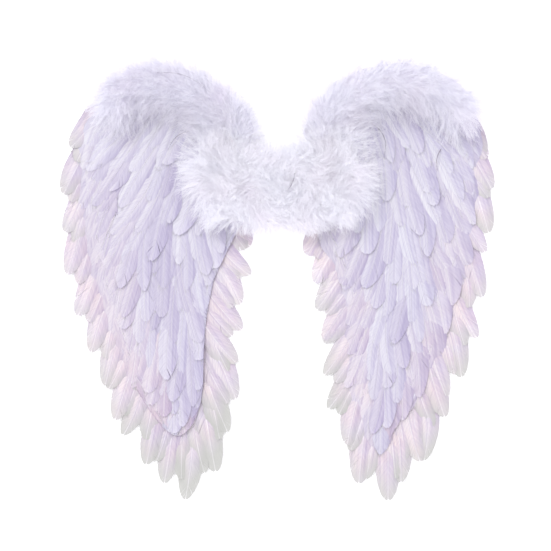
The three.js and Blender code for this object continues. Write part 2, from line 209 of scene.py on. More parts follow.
def feather(rng, length, width, twist, lift, blunt):
    """One feather with its quill's root at the origin and its tip along +Y, face up: points, faces and map.

    It is a quill, two rows of barb groups that slant to the tip, and loose barbs that stand out of its
    margins. The vane is a little cambered and may be split. Its +X edge is turned up by `twist` and its tip
    raised by `lift`, both growing along the length, and `blunt` makes the tip round.
    """
    bow = rng.normal(0, 0.03) * length
    curl = rng.normal(0, 0.035) * length

    def bent(x, along, height=0):
        across = x / (width / 2)
        z = height - VANE_CAMBER * width * across**2 + twist * along**2 * x + lift * along**3
        return x + bow * np.sin(np.pi * along) + curl * along**3, along * length, z

    share = np.linspace(0, 1, 200)
    slant = width / 2 / (length * math.tan(BARB_SLANT))
    leaves = share - slant * vane_half_width(share, blunt)
    starts = 0.06 + 0.92 * np.linspace(0, 1, BARB_GROUPS + 1) ** 0.85
    ends = np.interp(starts, np.maximum.accumulate(leaves), share)
    points, faces, mapped = [], [], []
    for side in (-1, 1):
        shift = rng.normal(0, 0.002, BARB_GROUPS)
        if rng.random() < 0.2:
            split = rng.integers(3, BARB_GROUPS - 1)
            shift[split:] += rng.uniform(0.008, 0.02) * np.linspace(1, 0, BARB_GROUPS - split)
        wave = rng.normal(0, 0.12 * MM, BARB_GROUPS)
        for group in range(BARB_GROUPS):
            first = len(points)
            for edge in (group, group + 1):
                end = min(ends[edge] + shift[group], 1)
                along = starts[edge] + (end - starts[edge]) * BARB_REACH**1.2
                across = side * vane_half_width(end, blunt) * BARB_REACH
                points += zip(*bent(across * width / 2, along, wave[group] * BARB_REACH**2))
                mapped += [(c, starts[edge]) for c in across]
            for step in range(len(BARB_REACH) - 1):
                low, high = first + step, first + len(BARB_REACH) + step
                faces.append((low, low + 1, high + 1, high)[::-side])
    first = len(points)
    for along in np.linspace(0, 0.97, QUILL_STEPS + 1):
        half = (0.4 - 0.32 * along) * MM
        x = bow * math.sin(math.pi * along) + curl * along**3
        for out, up in ((half, 0), (-half, 0), (0, 0.5 * half)):
            points.append((x + out, along * length, lift * along**3 + 0.1 * MM + up))
            mapped.append((0, along))
    for ring in range(first, len(points) - 3, 3):
        for i, j in ((0, 1), (1, 2), (2, 0)):
            faces.append((ring + i, ring + j, ring + 3 + j, ring + 3 + i))
    faces.append((first + 2, first + 1, first))
    faces.append((len(points) - 3, len(points) - 2, len(points) - 1))
    for side in (-1, 1):
        for along in 1 - 0.62 * rng.random(LOOSE_BARBS) ** 1.5:
            foot = side * vane_half_width(along, blunt) * width / 2 * 0.96
            reach = rng.uniform(*LOOSE_REACH)
            turn = BARB_SLANT * rng.uniform(0.1, 1.15)
            out = foot + side * reach * math.sin(turn)
            up = along + reach * math.cos(turn) / length
            half = rng.uniform(0.2, 0.5) * MM
            first = len(points)
            alongs = np.array([along - half / length, along + half / length, up])
            points += zip(*bent(np.array([foot, foot, out]), alongs))
            mapped += [(side, along), (side, along), (1.15 * side, min(up, 1.1))]
            faces.append((first, first + 1, first + 2)[::-side])
    return np.array(points), faces, np.array(mapped), length


def laid(shape, tip, lean, level, lowest, mirror):
    """The feather with its tip at `tip`, its quill up the wing, leaning outward by `lean` degrees.

    `level`(y, along) gives its height, and what would be below `lowest` is pressed flat there. For `mirror`
    -1 it is laid on the left wing.
    """
    points, faces, mapped, length = shape
    turn = math.radians(lean)
    back = points[:, 1] - length
    x = tip[0] + mirror * points[:, 0] * math.cos(turn) + back * math.sin(turn)
    y = tip[1] + mirror * points[:, 0] * math.sin(turn) - back * math.cos(turn)
    z = np.maximum(points[:, 2] + level(y, points[:, 1]), lowest)
    return np.column_stack([mirror * x, y, z]), faces, mapped


def feather_piece(name, feathers, dyes, material):
    """One mesh of many feathers. `dyes` says for each how pink it is, how dark, and how grey its tip."""
    points = np.concatenate([f[0] for f in feathers])
    mapped = np.concatenate([f[2] for f in feathers])
    faces, start = [], 0
    for shape, own, _ in feathers:
        faces += [tuple(start + i for i in face) for face in own]
        start += len(shape)
    mesh = bpy.data.meshes.new(name)
    mesh.from_pydata(points.tolist(), [], faces)
    sizes = [len(f[0]) for f in feathers]
    for key, values in zip(("blush", "tone", "grey_tip"), np.array(dyes).T):
        layer = mesh.attributes.new(key, "FLOAT", "POINT")
        layer.data.foreach_set("value", np.repeat(values, sizes).astype(np.float32))
    corners = np.empty(len(mesh.loops), dtype=np.int32)
    mesh.loops.foreach_get("vertex_index", corners)
    uv = mesh.uv_layers.new(name="vane")
    uv.data.foreach_set("uv", mapped[corners].astype(np.float32).ravel())
    mesh.polygons.foreach_set("use_smooth", [True] * len(mesh.polygons))
    piece = bpy.data.objects.new(name, mesh)
    bpy.context.scene.collection.objects.link(piece)
    paint(piece, material)
    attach(piece, "root")
    return piece


def ramp_of(tree, value, stops):
    """The colour of a ramp, given as [place, sRGB hex], at a socket's value."""
    ramp = add_node(tree, "ShaderNodeValToRGB", Fac=value)
    points = ramp.color_ramp.elements
    for place, colour in stops[2:]:
        points.new(place)
    for point, (place, colour) in zip(points, sorted(stops)):
        point.position = place
        point.color = linear(colour)
    return ramp.outputs["Color"]


def dyed_goose_feather():
    """Bleached goose feather with a thin dye: satin, finely streaked along its barbs, and thin enough to let
    light through. Across the vane its colour is painted lighter just left of the quill, a painted highlight,
    and darker towards the right margin, painted shade. The quill is pale, and the margins go grey towards the
    tip."""
    material, tree = new_material("dyed_goose_feather")
    vane = add_node(tree, "ShaderNodeUVMap", {"uv_map": "vane"}).outputs["UV"]
    place = add_node(tree, "ShaderNodeTexCoord").outputs["Object"]
    split = add_node(tree, "ShaderNodeSeparateXYZ", Vector=vane)
    out = add_node(tree, "ShaderNodeMath", {"operation": "ABSOLUTE"}, Value=split.outputs["X"])
    barbs = add_node(tree, "ShaderNodeMapping", {"Scale": (1.2, 55, 1)}, Vector=vane)
    streaks = add_node(
        tree,
        "ShaderNodeTexNoise",
        {"Scale": 1, "Detail": 4, "Roughness": 0.7},
        Vector=barbs.outputs["Vector"],
    )
    locks = add_node(tree, "ShaderNodeMapping", {"Scale": (5, 3, 1)}, Vector=vane)
    shifted = add_node(tree, "ShaderNodeVectorMath", {"operation": "MULTIPLY_ADD"})
    tree.links.new(place, shifted.inputs[0])
    shifted.inputs[1].default_value = (25, 25, 25)
    tree.links.new(locks.outputs["Vector"], shifted.inputs[2])
    lengthwise = add_node(
        tree,
        "ShaderNodeTexNoise",
        {"Scale": 1, "Detail": 3},
        Vector=shifted.outputs["Vector"],
    )
    clouds = add_node(tree, "ShaderNodeTexNoise", {"Scale": 30, "Detail": 3}, Vector=place)
    held = {}
    for key in ("blush", "tone", "grey_tip"):
        held[key] = add_node(tree, "ShaderNodeAttribute", {"attribute_name": key}).outputs["Fac"]
    # The margins and the tip go grey, the more so the greyer the feather's tip is set.
    reach = add_node(tree, "ShaderNodeMath", {"operation": "MULTIPLY_ADD"}, Value=held["grey_tip"])
    reach.inputs[1].default_value = 0.6
    tree.links.new(split.outputs["Y"], reach.inputs[2])
    margin = add_node(tree, "ShaderNodeMath", {"operation": "MULTIPLY_ADD"}, Value=out.outputs["Value"])
    margin.inputs[1].default_value = 0.4
    tree.links.new(reach.outputs["Value"], margin.inputs[2])
    grey_share = add_node(
        tree,
        "ShaderNodeMapRange",
        {"From Min": 1.1, "From Max": 1.45},
        Value=margin.outputs["Value"],
    )
    side = add_node(tree, "ShaderNodeMapRange", {"From Min": -1, "From Max": 1}, Value=split.outputs["X"])
    dye = blend(tree, "MIX", held["blush"], linear("E2E3E8"), linear("F2DED8"))
    faded = blend(tree, "MIX", clouds.outputs["Fac"], dye, linear("E3E3E8"))
    # Painted light across the vane: a painted highlight just left of the quill, and painted shade darkening
    # it towards the right margin.
    sides = [(0, "F1F0F7"), (0.34, "FFFFFF"), (0.6, "F6F4FB"), (1, "E0DBED")]
    uneven = ramp_of(tree, side.outputs["Result"], sides)
    shaded = blend(tree, "MULTIPLY", 1, faded, uneven)
    fine = ramp_of(tree, streaks.outputs["Fac"], [(0.32, "E6E3EF"), (0.6, "FFFFFF")])
    streaked = blend(tree, "MULTIPLY", 1, shaded, fine)
    broad = ramp_of(tree, lengthwise.outputs["Fac"], [(0.34, "E0DCEB"), (0.56, "FFFFFF")])
    locked = blend(tree, "MULTIPLY", 0.65, streaked, broad)
    toned = blend(tree, "MULTIPLY", held["tone"], locked, linear("DCD3E4"))
    greyed = blend(tree, "MIX", grey_share.outputs["Result"], toned, linear("BCBCB9"))
    pale = add_node(tree, "ShaderNodeMapRange", {"To Min": 0.35, "To Max": 0.75}, Value=held["blush"])
    quill = add_node(
        tree,
        "ShaderNodeMapRange",
        {"From Min": 0.04, "From Max": 0},
        Value=out.outputs["Value"],
    )
    tree.links.new(pale.outputs["Result"], quill.inputs["To Max"])
    colour = blend(tree, "MIX", quill.outputs["Result"], greyed, linear("F4F2F4"))
    shader = add_node(
        tree,
        "ShaderNodeBsdfPrincipled",
        {"Roughness": 0.55, "Sheen Weight": 0.15, "Specular IOR Level": 0.35},
        Base_Color=colour,
        Normal=bump_of(tree, streaks.outputs["Fac"], 0.35, 0.3 * MM),
    )
    through = add_node(tree, "ShaderNodeBsdfTranslucent", Color=colour)
    thin = add_node(tree, "ShaderNodeMixShader", {"Fac": 0.15})
    tree.links.new(shader.outputs["BSDF"], thin.inputs[1])
    tree.links.new(through.outputs["BSDF"], thin.inputs[2])
    add_node(tree, "ShaderNodeOutputMaterial", Surface=thin.outputs["Shader"])
    return material


goose = dyed_goose_feather()

for wing, mirror in SIDES.items():
    rng = np.random.default_rng(11 if mirror > 0 else 12)
    tips = [(row[:2] if mirror > 0 else row[2:4]) + row[4:] for row in RIM_FEATHERS]
    feathers, dyes = [], []
    for i, (x, y, lean, length) in enumerate(tips):
        laying = [(x * MM, y * MM, lean, length * MM, RIM_WIDTH, 0)]
        if i:
            # The filler between this feather and the one before it lies under both.
            mid = np.add(tips[i - 1], tips[i]) / 2
            turn = math.radians(mid[2])
            filler_x = mid[0] * MM - FILLER_SHORTER * math.sin(turn)
            filler_y = mid[1] * MM + FILLER_SHORTER * math.cos(turn)
            laying.insert(0, (filler_x, filler_y, mid[2], mid[3] * MM - FILLER_SHORTER, FILLER_WIDTH, 1))
        for tip_x, tip_y, turned, reach, width, under in laying:
            base = RIM_LEVEL + RIM_STAGGER * (i % 2) - FILLER_LOWER * under

            def level(y, along, base=base):
                free = np.clip((along - 0.045) / 0.03, 0, 1)
                return base + RIM_RISE * free * free * (3 - 2 * free)

            lie = turned + rng.normal(0, 2)
            width *= rng.uniform(0.9, 1.02)
            twist = rng.uniform(0.02, 0.08)
            shape = feather(rng, reach, width, twist, 0, rng.uniform(0.7, 1))
            lowest = RIM_FLOOR + RIM_FLOOR_STEP * (len(feathers) % RIM_FLOORS)
            feathers.append(laid(shape, (tip_x, tip_y), lie, level, lowest, mirror))
            # How grey the tip is coloured: greyer low on the rim, greyest at the left wing's lowest tips.
            grey_share = rng.uniform(0.3, 0.6) if tip_y > GREY_TIPS_ABOVE else rng.uniform(0.5, 0.75)
            if mirror < 0 and tip_y < GREY_TIPS_BELOW:
                grey_share = GREYEST_TIPS if tip_x < GREY_TIPS_INSIDE else GREY_OUTER_TIPS
            dyes.append((rng.uniform(0.8, 1), rng.uniform(0, 0.3), grey_share))
    piece = feather_piece(f"rim_feathers_{wing}", feathers, dyes, goose)
    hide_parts(f"edge_feathers_{wing}")


# Face feathers
# Rows of shorter goose feathers, machine-sewn side by side to narrow tapes. The tapes are glued across the
# board from the tip up, so that each row hides the quills of the row below it.
ROW_COUNT = 11
ROW_PITCH = 39 * MM
FIRST_HEAD = -142 * MM  # height on the wing of the lowest tape
ROW_LENGTHS = (112 * MM, 104 * MM)  # of the lowest and the highest row
ROW_SLOPE = 0.8 / 39  # a feather rises 0.8 mm over a pitch towards its tip, on the row below
ROW_LOW = 5.3 * MM
FACE_FLOOR = 2 * MM  # no face feather reaches lower than this
LAYER_STEP = 0.5 * MM  # height of one layer of a row over the layer below it
COVER_LOW = 5.6 * MM  # height of the lowest layer, which is glued straight to the board along its edge
COVER_SLOPE = 0.4 * ROW_SLOPE
COVER_STEPS = (2, 15, 28)  # mm, how far up the row the lowest layer's tips are
END_STEPS = ((5, 10), (16, 22), (28, 34))  # mm, the same at least and at most for the spares at a row's ends
ROW_WIDTH = 36 * MM
ROW_SPACING = 34 * MM
ROW_OVERHANG = 6.5 * MM
SPARE = 7 * MM  # added to the length of a row before the spacing divides it
SEAM = 66 * MM  # the innermost feathers of the upper rows keep to the board
FIRST_ROW_DROOP = {1: 3 * MM, -1: 0.8 * MM}  # of the lowest row, on the right and on the left wing
EDGE_DROOP = 3.6 * MM  # of a feather past the board's edge
FOLDED_DROOP = 0.6 * MM  # of a feather folded round that edge
BOARD_EDGES = np.array([  # height on the wing, inner and outer edge of the board
    (-217, 139, 141),
    (-212, 131, 149),
    (-205, 124, 158),
    (-190, 116, 171),
    (-170, 110, 185),
    (-150, 107, 195),
    (-100, 106, 216),
    (-50, 102, 232),
    (0, 92, 246),
    (50, 68, 258),
    (85, 50, 262),
    (160, 50, 265),
    (200, 67, 261),
    (240, 95, 247),
    (268, 137, 197),
]) * MM
ROW_LEANS = {  # share of the rows from the tip up, lean of the innermost and of the outermost feather
    1: np.array([(0, -14, 12), (0.3, -26, 18), (0.6, -28, 24), (0.85, -12, 34), (1, 0, 40)]),
    -1: np.array([(0, -3, 8), (0.3, -6, 16), (0.6, -10, 26), (0.85, -6, 38), (1, 8, 44)]),
}
FOLD = 2.5 * MM  # how far past the board's edge the left wing's feathers are folded under
FOLDED_BELOW = 72 * MM  # they are folded up to this height on the inner side
FOLDED_TIP = -155 * MM  # and round the tip up to this height on the outer side
FOLDED_INSIDE = {1: 10 * MM, -1: 7 * MM}  # how far inside the edge the folded and the lowest feathers end
LOW_TONE = {1: 0.26, -1: 0.32}  # how much darker the lowest row is coloured than the highest
MAUVE_BAND = (146 * MM, 172 * MM)  # inner and outer side of a darker band of the left wing
MAUVE_MIDDLE = 10 * MM  # its height on the wing
MAUVE_REACH = 110 * MM  # up and down from there
MAUVE_TONE = 0.35
RAISED = 0.25  # share of the feathers that stand off the ones below
TOP_TIER = 42 * MM  # how much higher the second tier of the highest row ends
TOP_TIER_PLACES = ((0.2, 0.4), (0.5, 1), (0.8, 0.6))  # between two feathers, and the share of TOP_TIER
TOP_ROOTS = 28 * MM  # how much higher that tier's quills start, under the marabou
SHORTEST = 62 * MM  # length of the shortest feathers
INNER_SHARE = 0.3  # of a row's width
INNER_ROOT_TOP = 250 * MM  # roots in that share stay below it, where the board's corner is rounded


def board_edge(y, outer):
    """How far out the board's inner or outer edge is at a height on the wing."""
    return np.interp(y, BOARD_EDGES[:, 0], BOARD_EDGES[:, 2 if outer else 1])


def row_ends(y, mirror, lowest_layer=False):
    """How far in and out the tips of a row lie at a height: past the board's edge, or inside it in the lowest
    layer and where they are folded."""
    folded = [lowest_layer or mirror < 0 and y < limit for limit in (FOLDED_BELOW, FOLDED_TIP)]
    inner = board_edge(y, False) + (FOLDED_INSIDE[mirror] if folded[0] else -ROW_OVERHANG)
    outer = board_edge(y, True) + (-FOLDED_INSIDE[mirror] if folded[1] else ROW_OVERHANG)
    return max(inner, SEAM), outer


def folded_in(points):
    """The left wing's points with those past its board's inner edge and tip brought back to that edge."""
    heights = np.linspace(BOARD_EDGES[0, 0], FOLDED_BELOW, 80)
    inner = board_edge(heights, False) - FOLD
    low = np.linspace(FOLDED_TIP, BOARD_EDGES[0, 0], 30)
    outer = board_edge(low, True) + FOLD
    edge = np.column_stack([np.append(outer, inner), np.append(low, heights)])
    x, y = -points[:, 0], points[:, 1]
    past = (y < FOLDED_BELOW) & (x < np.interp(y, heights, inner))
    past |= (y < FOLDED_TIP) & (x > np.interp(y, low[::-1], outer[::-1]))
    past |= y < BOARD_EDGES[0, 0]
    gaps = np.linalg.norm(points[past, None, :2] * [-1, 1] - edge[None], axis=2)
    nearest = edge[np.argmin(gaps, axis=1)]
    points = points.copy()
    points[past, 0] = -nearest[:, 0]
    points[past, 1] = nearest[:, 1]
    return points


for wing, mirror in SIDES.items():
    rng = np.random.default_rng(21 if mirror > 0 else 22)
    for row in range(ROW_COUNT):
        share = row / (ROW_COUNT - 1)
        length = ROW_LENGTHS[0] + (ROW_LENGTHS[1] - ROW_LENGTHS[0]) * share
        head = FIRST_HEAD + row * ROW_PITCH
        tip_y = head - length
        inner, outer = row_ends(tip_y, mirror)
        leans = [np.interp(share, ROW_LEANS[mirror][:, 0], ROW_LEANS[mirror][:, side]) for side in (1, 2)]
        count = max(2, round((outer - inner + SPARE) / ROW_SPACING))
        # One feather to lay: its place along the row, how far up its tip is, its width, and its layer.
        laying = []
        for i in range(count + 1):
            stagger = 0.5 * (row % 2)
            across = (i - stagger) / count
            if not -0.01 <= across <= 1.01:
                continue
            laying.append((across + rng.uniform(-0.15, 0.15) / count, rng.uniform(-6, 10) * MM, 1, 1))
            laying.append((across + rng.uniform(0.35, 0.65) / count, rng.uniform(10, 28) * MM, 0.95, 0))
            if row == ROW_COUNT - 1:
                for beside, above in TOP_TIER_PLACES:
                    beside += rng.uniform(-0.1, 0.1)
                    short = above * TOP_TIER + rng.uniform(-9, 9) * MM
                    laying.append((across + beside / count, short, 0.85, 1 + above))
        for across in (0, 1):
            for low, high in END_STEPS:
                laying.append((across, rng.uniform(low, high) * MM, 1.15, 0))
            if 0 < row < ROW_COUNT - 1:
                # The lowest layer runs along the board's edge and keeps it covered.
                laying += [(across, short * MM, 1, -1) for short in COVER_STEPS]
        laying.sort(key=lambda one: (one[3], -abs(one[0] - 0.5)))

        def level(y, along):
            droop = FIRST_ROW_DROOP[mirror] * np.clip((along - 0.05) / 0.06, 0, 1) ** 2 if row == 0 else 0
            return ROW_LOW + (head - y) * ROW_SLOPE - droop

        feathers, dyes = [], []
        for across, short, wide, layer in laying:
            across = min(max(across, 0), 1)
            if mirror < 0:
                short = max(short, BOARD_EDGES[0, 0] - tip_y + rng.uniform(-6, 4) * MM)
            y = tip_y + short
            ends = row_ends(y, mirror, layer < 0)
            x = ends[0] + (ends[1] - ends[0]) * across
            lean = leans[0] + (leans[1] - leans[0]) * across
            lean = lean * (1 if layer else 0.7) + rng.normal(0, 4)
            folded = mirror < 0 and y < (FOLDED_BELOW if across < 0.5 else FOLDED_TIP)
            reach = max(length - short + (TOP_ROOTS if layer > 1 else rng.uniform(-3, 6) * MM), SHORTEST)
            if layer < 0:
                edge_run = board_edge(y, across > 0.5) - board_edge(y + SHORTEST, across > 0.5)
                lean = math.degrees(math.atan2(edge_run, SHORTEST)) + rng.normal(0, 2)
                reach = SHORTEST
            if across < INNER_SHARE:
                reach = min(reach, INNER_ROOT_TOP - y)
            raised = rng.uniform(0.6, 1) if layer >= 0 and rng.random() < RAISED else 0
            width = wide * ROW_WIDTH * rng.uniform(0.82, 1.08)
            lift = (2.6 * raised - 0.8) * MM
            shape = feather(rng, reach, width, 0.02 + 0.15 * raised, lift, 0.8 * rng.random())
            sink = FOLDED_DROOP if folded else EDGE_DROOP

            def own_level(y, along, layer=layer, across=across, reach=reach, sink=sink):
                if layer < 0:
                    return COVER_LOW - COVER_SLOPE * along
                past = np.clip((along / reach - 0.6) / 0.4, 0, 1) * abs(2 * across - 1) ** 3
                return level(y, along) + LAYER_STEP * layer - sink * past

            points, faces, mapped = laid(shape, (x, y), lean, own_level, FACE_FLOOR, mirror)
            if mirror < 0:
                points = folded_in(points)
            feathers.append((points, faces, mapped))
            if mirror < 0:
                pink = 0.8 * max(0, 1 - 2.2 * (1 - across)) * (1.1 - share)
            else:
                pink = 0.6 * abs(2 * across - 1) ** 4 * (1.1 - share)
            tone = abs(rng.normal(0, 0.18)) + LOW_TONE[mirror] * (1 - share)
            in_band = MAUVE_BAND[0] < x < MAUVE_BAND[1] and abs(y - MAUVE_MIDDLE) < MAUVE_REACH
            if mirror < 0 and in_band:
                tone += MAUVE_TONE
            dyes.append((pink + rng.uniform(0, 0.12), tone, 0))
        piece = feather_piece(f"face_feathers_{row + 1}_{wing}", feathers, dyes, goose)
        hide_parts(f"feather_row_{row + 1}_{wing}")


# Marabou down
# Strung marabou, the soft under-feathers of turkeys, wound round a cord and glued along the tops of the
# boards and over the panel. Each plume is a short hair-thin quill with loose silky barbs on both sides.
CORE_VOXEL = 5 * MM
CORE_SMOOTHING = 20
CORE_SHRINK = 3 * MM
CORE_SEAM = 190 * MM  # height on the wing where the lengths of marabou meet
DOWN_TOP = 42 * MM  # above this the plumes lie flatter
PLUMES_PER_PIECE = 2600
BARBS_PER_PLUME = 24
PLUME_LENGTH = 17 * MM
BARB_LENGTH = 9 * MM
BARB_THICK = 0.22 * MM
LUMP_HEIGHT = 22 * MM
LUMP_FLATNESS = 0.5
EXTRA_LUMPS = [  # x, y and radius of down over the seams and between the arms
    (-94, 150, 25),
    (94, 150, 25),
    (-92, 122, 24),
    (93, 122, 24),
    (-94, 178, 22),
    (94, 180, 22),
    (-38, 126, 25),
    (0, 124, 25),
    (38, 126, 25),
]
ARM_CORDS = np.array([  # the cord along each shoulder: right x and y, left x and y, from the middle out
    (59, 196, 60, 190),
    (70, 228, 68, 219),
    (89, 251, 86, 240),
    (117, 265, 111, 257),
    (146, 272, 139, 269),
    (175, 275, 166, 272),
    (205, 269, 194, 269),
    (231, 255, 216, 258),
    (253, 236, 230, 243),
]) * MM
ARM_HALF_WIDTH = 25 * MM
PANEL_MIDDLE = 125 * MM  # height on the wing of the middle of the down over the panel
PANEL_TURN = 11 * MM  # over it the plumes there swing from one side to the other


def marabou_down():
    """Marabou down: silky and matte, lets light through, and white at the tips, with painted shade that
    darkens it towards a faint lavender where the barbs root and on the core."""
    material, tree = new_material("marabou_down")
    place = add_node(tree, "ShaderNodeTexCoord").outputs["Object"]
    patches = add_node(tree, "ShaderNodeTexNoise", {"Scale": 22, "Detail": 3}, Vector=place)
    depth = add_node(tree, "ShaderNodeAttribute", {"attribute_name": "depth"}).outputs["Fac"]
    bright = ramp_of(tree, patches.outputs["Fac"], [(0.4, "FCFCFF"), (0.6, "FDFCFF"), (0.75, "FDFBFF")])
    # The depth attribute holds each plume's dye together with painted shade at the barbs' roots and over the
    # core, and darkens the colour towards lavender.
    colour = blend(tree, "MULTIPLY", depth, bright, linear("F3F2F6"))
    shader = add_node(
        tree,
        "ShaderNodeBsdfPrincipled",
        {"Roughness": 0.9, "Sheen Weight": 0.4, "Specular IOR Level": 0.2},
        Base_Color=colour,
    )
    through = add_node(tree, "ShaderNodeBsdfTranslucent", Color=colour)
    thin = add_node(tree, "ShaderNodeMixShader", {"Fac": 0.55})
    tree.links.new(shader.outputs["BSDF"], thin.inputs[1])
    tree.links.new(through.outputs["BSDF"], thin.inputs[2])
    add_node(tree, "ShaderNodeOutputMaterial", Surface=thin.outputs["Shader"])
    return material


DOWN_NODES = ("shoulder_marabou_right", "shoulder_marabou_left", "centre_marabou")


def down_body():
    """The wound body of all the down: the solids melted together, their locks smoothed to lumps, and a little
    smaller."""
    bpy.ops.object.select_all(action="DESELECT")
    for node in DOWN_NODES:
        copy = bpy.data.objects.new("down_body", nodes[node].data.copy())
        bpy.context.scene.collection.objects.link(copy)
        copy.select_set(True)
        bpy.context.view_layer.objects.active = copy
    for x, y, radius in EXTRA_LUMPS:
        kept = list(bpy.context.selected_objects)
        bpy.ops.mesh.primitive_uv_sphere_add(segments=24, ring_count=12, radius=radius * MM)
        bpy.ops.transform.resize(value=(1, 1, LUMP_FLATNESS))
        bpy.ops.transform.translate(value=(x * MM, y * MM, LUMP_HEIGHT))
        bpy.ops.object.transform_apply(location=True, rotation=True, scale=True)
        for copy in kept:
            copy.select_set(True)
    bpy.ops.object.join()
    body = bpy.context.object
    weld = body.modifiers.new("weld", "WELD")
    weld.merge_threshold = 0.01 * MM
    remesh = body.modifiers.new("remesh", "REMESH")
    remesh.mode = "VOXEL"
    remesh.voxel_size = CORE_VOXEL
    smooth = body.modifiers.new("smooth", "SMOOTH")
    smooth.iterations = CORE_SMOOTHING
    smooth.factor = 0.6
    shrink = body.modifiers.new("shrink", "DISPLACE")
    shrink.strength = -CORE_SHRINK
    shrink.mid_level = 0
    for modifier in list(body.modifiers):
        bpy.ops.object.modifier_apply(modifier=modifier.name)
    # The tips of a few locks come loose from the body and are dropped.
    bpy.ops.object.mode_set(mode="EDIT")
    bpy.ops.mesh.select_all(action="SELECT")
    bpy.ops.mesh.separate(type="LOOSE")
    bpy.ops.object.mode_set(mode="OBJECT")
    islands = list(bpy.context.selected_objects)
    body = max(islands, key=lambda island: len(island.data.vertices))
    for island in islands:
        if island is not body:
            bpy.data.objects.remove(island)
    return body


def cut_core(name, body, cuts, depth):
    """A copy of the body without what lies beyond each cut, given as a point and the direction cut off."""
    bpy.ops.object.select_all(action="DESELECT")
    core = bpy.data.objects.new(name, body.data.copy())
    bpy.context.scene.collection.objects.link(core)
    bpy.context.view_layer.objects.active = core
    core.select_set(True)
    bpy.ops.object.mode_set(mode="EDIT")
    for point, direction in cuts:
        bpy.ops.mesh.select_all(action="SELECT")
        bpy.ops.mesh.bisect(plane_co=point, plane_no=direction, use_fill=True, clear_outer=True)
    bpy.ops.object.mode_set(mode="OBJECT")
    core.data.polygons.foreach_set("use_smooth", [True] * len(core.data.polygons))
    # The core's colour is darkened all over by depth, painted shade for the body seen under the plumes.
    layer = core.data.attributes.new("depth", "FLOAT", "POINT")
    layer.data.foreach_set("value", [depth] * len(core.data.vertices))
    return core


def scatter(core, count, side, rng):
    """Points spread evenly over the upper faces of a mesh, with the surface's direction at each. `side` 1 or
    -1 keeps to that half of it."""
    mesh = core.data
    mesh.calc_loop_triangles()
    corners = np.empty(3 * len(mesh.loop_triangles), dtype=np.int32)
    mesh.loop_triangles.foreach_get("vertices", corners)
    spots = np.empty(3 * len(mesh.vertices), dtype=np.float32)
    mesh.vertices.foreach_get("co", spots)
    triangles = spots.reshape(-1, 3)[corners.reshape(-1, 3)]
    normals = np.cross(triangles[:, 1] - triangles[:, 0], triangles[:, 2] - triangles[:, 0])
    areas = np.linalg.norm(normals, axis=1)
    normals /= np.maximum(areas, 1e-12)[:, None]
    cut_face = np.abs(triangles[:, :, 1] - CORE_SEAM).max(axis=1) < 0.01 * MM
    weights = areas * (normals[:, 2] > -0.25) * ~cut_face * (side * triangles[:, 0, 0] >= 0)
    chosen = rng.choice(len(triangles), count, p=weights / weights.sum())
    mix = rng.dirichlet((1, 1, 1), count)
    return np.einsum("ij,ijk->ik", mix, triangles[chosen]), normals[chosen]


def unit(vectors):
    """The vectors with a length of 1."""
    return vectors / np.maximum(np.linalg.norm(vectors, axis=1), 1e-9)[:, None]


def barb_ribbons(feet, aims, lengths, rng):
    """Hair-thin tapered ribbons from their feet along their aims, sagging towards the tips."""
    count = len(feet)
    side = unit(np.cross(aims, rng.normal(size=(count, 3))))
    curl = rng.normal(0, 0.22, (count, 3))
    rows = []
    for share, width in ((0, 0.5), (0.55, 0.4), (1, 0)):
        middle = feet + lengths[:, None] * (share * aims + share**2 * curl)
        middle[:, 2] -= 0.14 * lengths * share**2
        rows += [middle + sign * side * width * BARB_THICK for sign in ((-1, 1) if width else (0,))]
    points = np.stack(rows, axis=1).reshape(-1, 3)
    start = 5 * np.arange(count)[:, None]
    return points, start + [0, 1, 3, 2], start + [2, 3, 4]


def plume_field(name, core, comb, dyed, painted_root_shade, side, rng):
    """One mesh of plumes that grow out of the core. `comb`(points) gives the way they are brushed and their
    length, `dyed` is the most dye a plume holds, and `painted_root_shade` how much painted shade darkens its
    barbs at the root."""
    spots, normals = scatter(core, PLUMES_PER_PIECE, side, rng)
    brushed, reach = comb(spots)
    quills = unit(0.4 * normals + brushed + rng.normal(0, 0.24, spots.shape))
    wide = unit(np.cross(quills, normals + rng.normal(0, 0.3, spots.shape)))
    each = np.repeat(np.arange(PLUMES_PER_PIECE), BARBS_PER_PLUME)
    along = np.tile(np.linspace(0, 1, BARBS_PER_PLUME), PLUMES_PER_PIECE)
    sign = np.where(np.arange(len(each)) % 2, 1.0, -1.0)
    size = (reach * rng.uniform(0.75, 1.2, PLUMES_PER_PIECE))[each]
    spread = (0.5 - 0.35 * along) * sign
    feet = spots[each] + (along * size * PLUME_LENGTH)[:, None] * quills[each]
    aims = unit(quills[each] + wide[each] * spread[:, None] + rng.normal(0, 0.24, feet.shape))
    lengths = BARB_LENGTH * size * (1 - 0.4 * along) * rng.uniform(0.7, 1.15, len(each))
    points, quads, tips = barb_ribbons(feet, aims, lengths, rng)
    high = np.maximum(points[:, 2] - DOWN_TOP, 0)
    points[:, 2] = np.maximum(points[:, 2] - 0.5 * high, 0.2 * MM)
    mesh = bpy.data.meshes.new(name)
    mesh.from_pydata(points.tolist(), [], quads.tolist() + tips.tolist())
    mesh.polygons.foreach_set("use_smooth", [True] * len(mesh.polygons))
    # Barbs are painted darker at the foot, painted shade where they root in the down, and each plume holds a
    # little more or less dye.
    dye = np.repeat(rng.uniform(0, dyed, PLUMES_PER_PIECE)[each], 5)
    foot = painted_root_shade * np.tile([1, 1, 0.25, 0.25, 0], len(each))
    layer = mesh.attributes.new("depth", "FLOAT", "POINT")
    layer.data.foreach_set("value", np.clip(dye + foot, 0, 1).astype(np.float32))
    piece = bpy.data.objects.new(name, mesh)
    bpy.context.scene.collection.objects.link(piece)
    return piece


